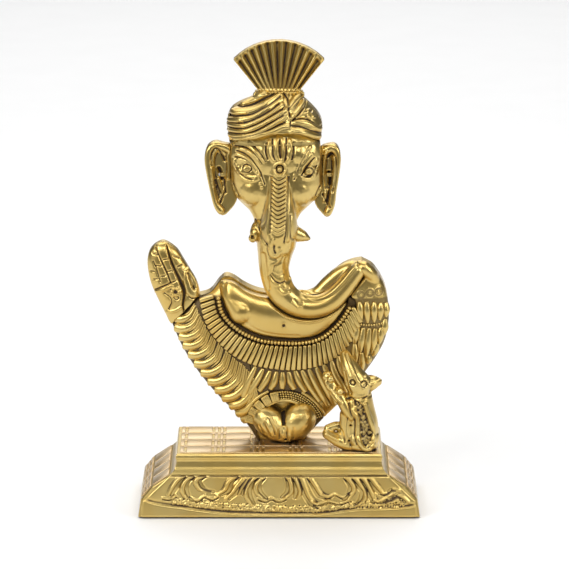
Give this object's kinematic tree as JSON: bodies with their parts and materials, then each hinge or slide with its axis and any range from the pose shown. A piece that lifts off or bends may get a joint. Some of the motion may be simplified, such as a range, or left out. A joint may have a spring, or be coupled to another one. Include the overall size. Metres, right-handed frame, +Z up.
{
  "type": "elephant-headed devotional idol",
  "caption": "Cast brass relief idol of an elephant-headed seated figure with raised palm, turban and fan plume, on a stepped rectangular plinth with a climbing mouse.",
  "frame": {"origin": "centre of the underside's outer rectangle, on the table", "axes": "+Z up along the figure's height, -Y towards the viewer, +X to the viewer's right"},
  "size_m": [0.114, 0.051, 0.192],
  "materials": {
    "cast_brass": "polished cast brass with dark patina in the recesses",
    "steel": "plain",
    "felt": "dense dark felt"
  },
  "bodies": {
    "root": {"plinth_lower": "cast_brass", "plinth_upper": "cast_brass", "torso": "cast_brass", "belly": "cast_brass", "bead_collar": "cast_brass", "bangled_forearm": "cast_brass", "open_palm": "cast_brass", "folded_arm": "cast_brass", "pleated_skirt": "cast_brass", "anklet_left": "cast_brass", "anklet_right": "cast_brass", "foot_left": "cast_brass", "foot_right": "cast_brass", "trunk": "cast_brass", "head": "cast_brass", "turban": "cast_brass", "plume": "cast_brass", "ear_left": "cast_brass", "ear_right": "cast_brass", "tusk_left": "cast_brass", "tusk_right": "cast_brass", "mouse": "cast_brass", "fixing_screws": "steel", "fixing_washers": "steel", "neck_dowel": "steel", "turban_dowel": "steel", "trunk_pin": "steel", "ear_pins": "steel", "felt_pad": "felt"}
  },
  "joints": []
}
